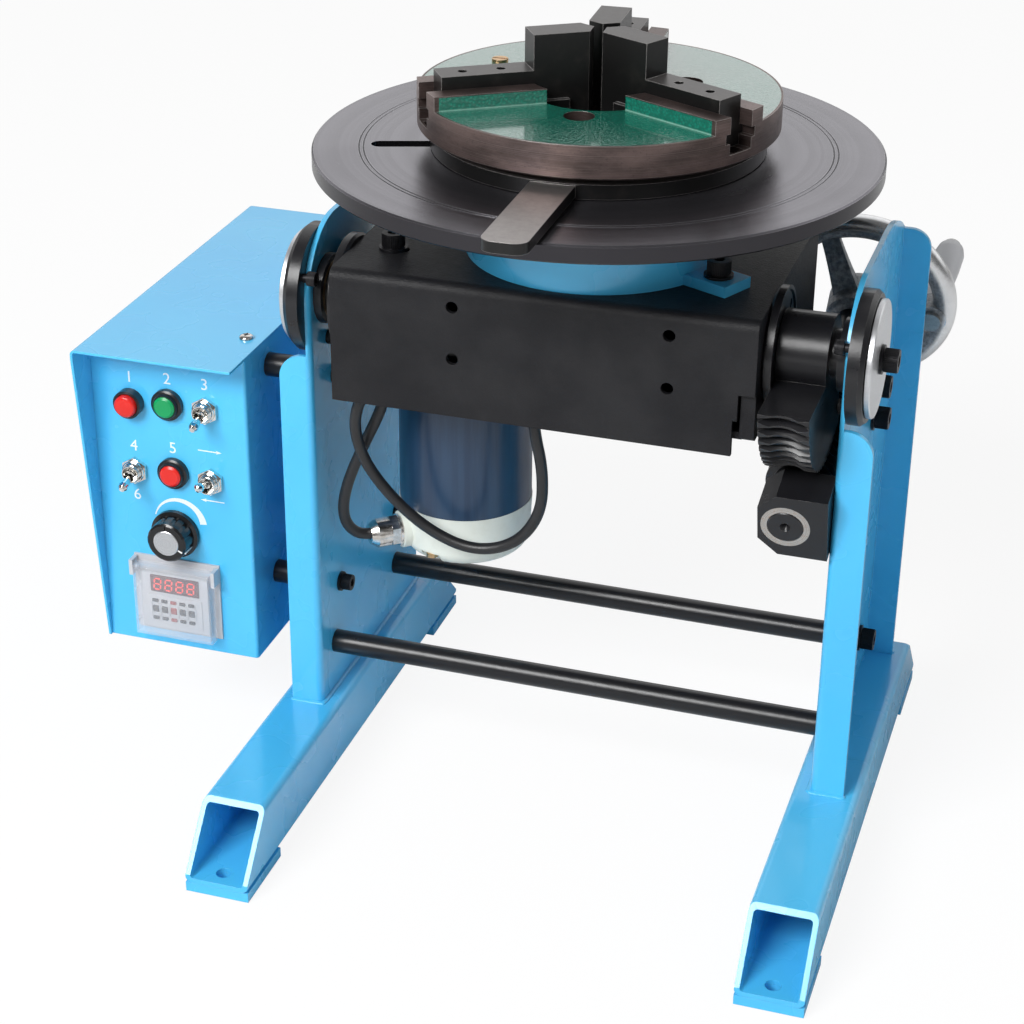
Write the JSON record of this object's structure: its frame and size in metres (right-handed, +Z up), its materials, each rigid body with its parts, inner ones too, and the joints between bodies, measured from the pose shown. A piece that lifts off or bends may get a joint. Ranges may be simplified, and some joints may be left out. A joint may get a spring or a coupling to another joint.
{
  "type": "welding positioner",
  "caption": "Bench welding positioner: motor-driven table with a lever-worked scroll chuck on a head that a handwheel tilts, with a control case on the side.",
  "frame": {"origin": "centre of the four floor bolt holes, on the floor plane", "axes": "+X along the tilt axis to the handwheel side, +Y to the back, +Z up"},
  "size_m": [0.472, 0.4056, 0.459],
  "materials": {
    "black_steel": "blackened steel, satin",
    "brass": "yellow brass",
    "bronze": "sintered bronze bush",
    "bush_steel": "ground steel bush",
    "button_green": "green plastic",
    "button_red": "red plastic",
    "cable_black": "black cable sheath",
    "cap_silver": "faced steel disc",
    "case_blue": "gloss blue enamel over sheet steel",
    "chuck_iron": "turned cast iron with green enamel between the guideways",
    "clear_cover": "clear plastic",
    "collar_black": "black plastic",
    "cover_black": "fine textured black powder coat",
    "fastener_black": "black oxide fasteners",
    "frame_blue": "gloss blue enamel over steel",
    "gear_steel": "machined steel",
    "gland_nickel": "nickel-plated brass",
    "grip_grey": "pale grey plastic",
    "jaw_steel": "blackened tool steel, ground",
    "knob_black": "black plastic with a metal face",
    "lamp_red": "red lens",
    "motor_cap_white": "off-white enamel on cast aluminium",
    "motor_navy": "navy enamel",
    "table_black": "black oxide steel, faced",
    "timer_grey": "grey plastic",
    "toggle_chrome": "bright chrome",
    "wheel_cast": "bare casting with a polished rim"
  },
  "bodies": {
    "stand": {"feet": "frame_blue", "foot_pads": "frame_blue", "upright_left": "frame_blue", "upright_right": "frame_blue", "tie_bars": "black_steel", "tie_bar_screws": "fastener_black", "pivot_housings": "black_steel", "pivot_bushes": "bronze", "pivot_screws": "fastener_black", "worm_blocks": "black_steel", "worm_bushes": "bush_steel", "worm_block_screws": "fastener_black", "case_body": "case_blue", "case_lid": "case_blue", "case_standoffs": "black_steel", "case_screws": "fastener_black", "pilot_lamp": "lamp_red", "button_collars": "collar_black", "toggle_switches": "toggle_chrome", "speed_pot": "gear_steel", "timer_body": "timer_grey"},
    "tilt_head": {"head_cover": "cover_black", "end_plates": "cover_black", "trunnions": "black_steel", "trunnion_caps": "cap_silver", "head_screws": "fastener_black", "worm_sector": "black_steel", "bearing_housing": "frame_blue", "spindle_bearings": "gear_steel", "gearmotor_plate": "black_steel", "gearbox": "black_steel", "motor_body": "motor_navy", "motor_end_cap": "motor_cap_white", "motor_screws": "brass", "cable_gland": "gland_nickel", "motor_cable": "cable_black", "sensor_cable": "cable_black", "cable_clips": "collar_black"},
    "turntable": {"table": "table_black", "spindle": "gear_steel", "spindle_gear": "gear_steel", "table_screws": "fastener_black", "chuck_body": "chuck_iron", "chuck_plug": "brass"},
    "motor_drive": {"drive_pinion": "gear_steel"},
    "chuck_scroll": {"scroll_plate": "jaw_steel"},
    "first_jaw": {"jaw_1": "jaw_steel"},
    "second_jaw": {"jaw_2": "jaw_steel"},
    "third_jaw": {"jaw_3": "jaw_steel"},
    "tilt_screw": {"worm_shaft": "black_steel", "handwheel": "wheel_cast", "grip_bolt": "gear_steel"},
    "wheel_grip": {"grip": "grip_grey"},
    "reset_plunger": {"reset_button": "button_green"},
    "lock_plunger": {"lock_button": "button_red"},
    "power_lever": {"power_toggle": "toggle_chrome"},
    "mode_lever": {"mode_toggle": "toggle_chrome"},
    "direction_lever": {"direction_toggle": "toggle_chrome"},
    "knob": {"speed_knob": "knob_black"},
    "timer_flap": {"timer_cover": "clear_cover"}
  },
  "joints": [
    {"name": "tilt", "type": "hinge", "parent": "stand", "child": "tilt_head", "pos_m": [0, -0.013, 0.306], "axis": [1, 0, 0], "range_deg": [0, 90]},
    {"name": "handwheel_turn", "type": "hinge", "parent": "stand", "child": "tilt_screw", "pos_m": [0.126, 0.00693, 0.23162], "axis": [0, 0.9659, 0.2588], "range_deg": [-5400, 0]},
    {"name": "grip_spin", "type": "hinge", "parent": "tilt_screw", "child": "wheel_grip", "pos_m": [0.16967, 0.19184, 0.27562], "axis": [0, 0.9659, 0.2588], "continuous": true},
    {"name": "table_turn", "type": "hinge", "parent": "tilt_head", "child": "turntable", "pos_m": [-0.003, 0.0245, 0.394], "axis": [0, 0, 1], "continuous": true},
    {"name": "pinion_turn", "type": "hinge", "parent": "tilt_head", "child": "motor_drive", "pos_m": [-0.079, 0.0245, 0.312], "axis": [0, 0, 1], "continuous": true},
    {"name": "scroll_turn", "type": "hinge", "parent": "turntable", "child": "chuck_scroll", "pos_m": [-0.003, 0.0245, 0.3985], "axis": [0, 0, -1], "range_deg": [0, 790]},
    {"name": "first_jaw_slide", "type": "slide", "parent": "turntable", "child": "first_jaw", "axis": [-0.061, 0.9981, 0], "range_m": [0, 0.022]},
    {"name": "second_jaw_slide", "type": "slide", "parent": "turntable", "child": "second_jaw", "axis": [-0.8339, -0.5519, 0], "range_m": [0, 0.022]},
    {"name": "third_jaw_slide", "type": "slide", "parent": "turntable", "child": "third_jaw", "axis": [0.8949, -0.4462, 0], "range_m": [0, 0.022]},
    {"name": "reset_press", "type": "slide", "parent": "stand", "child": "reset_plunger", "axis": [0, 1, 0], "range_m": [0, 0.003], "stiffness_N_per_m": 600, "springref_m": -0.002},
    {"name": "lock_press", "type": "slide", "parent": "stand", "child": "lock_plunger", "axis": [0, 1, 0], "range_m": [0, 0.003], "stiffness_N_per_m": 600, "springref_m": -0.002},
    {"name": "power_switch", "type": "hinge", "parent": "stand", "child": "power_lever", "pos_m": [-0.2155, -0.0436, 0.2316], "axis": [1, 0, 0], "range_deg": [-32, 0]},
    {"name": "mode_switch", "type": "hinge", "parent": "stand", "child": "mode_lever", "pos_m": [-0.263, -0.0436, 0.186], "axis": [1, 0, 0], "range_deg": [-32, 0]},
    {"name": "direction_switch", "type": "hinge", "parent": "stand", "child": "direction_lever", "pos_m": [-0.2144, -0.0436, 0.186], "axis": [1, 0, 0], "range_deg": [0, 32]},
    {"name": "speed_turn", "type": "hinge", "parent": "stand", "child": "knob", "pos_m": [-0.239, -0.039, 0.148], "axis": [0, 1, 0], "range_deg": [-150, 150]},
    {"name": "timer_flap_swing", "type": "hinge", "parent": "stand", "child": "timer_flap", "pos_m": [-0.24, -0.0445, 0.124], "axis": [-1, 0, 0], "range_deg": [0, 95]}
  ],
  "couplings": [
    {"joint": "handwheel_turn", "follows": "tilt", "ratio": -60},
    {"joint": "pinion_turn", "follows": "table_turn", "ratio": -2.8},
    {"joint": "first_jaw_slide", "follows": "scroll_turn", "m_per_rad": 0.0015915},
    {"joint": "second_jaw_slide", "follows": "scroll_turn", "m_per_rad": 0.0015915},
    {"joint": "third_jaw_slide", "follows": "scroll_turn", "m_per_rad": 0.0015915}
  ]
}
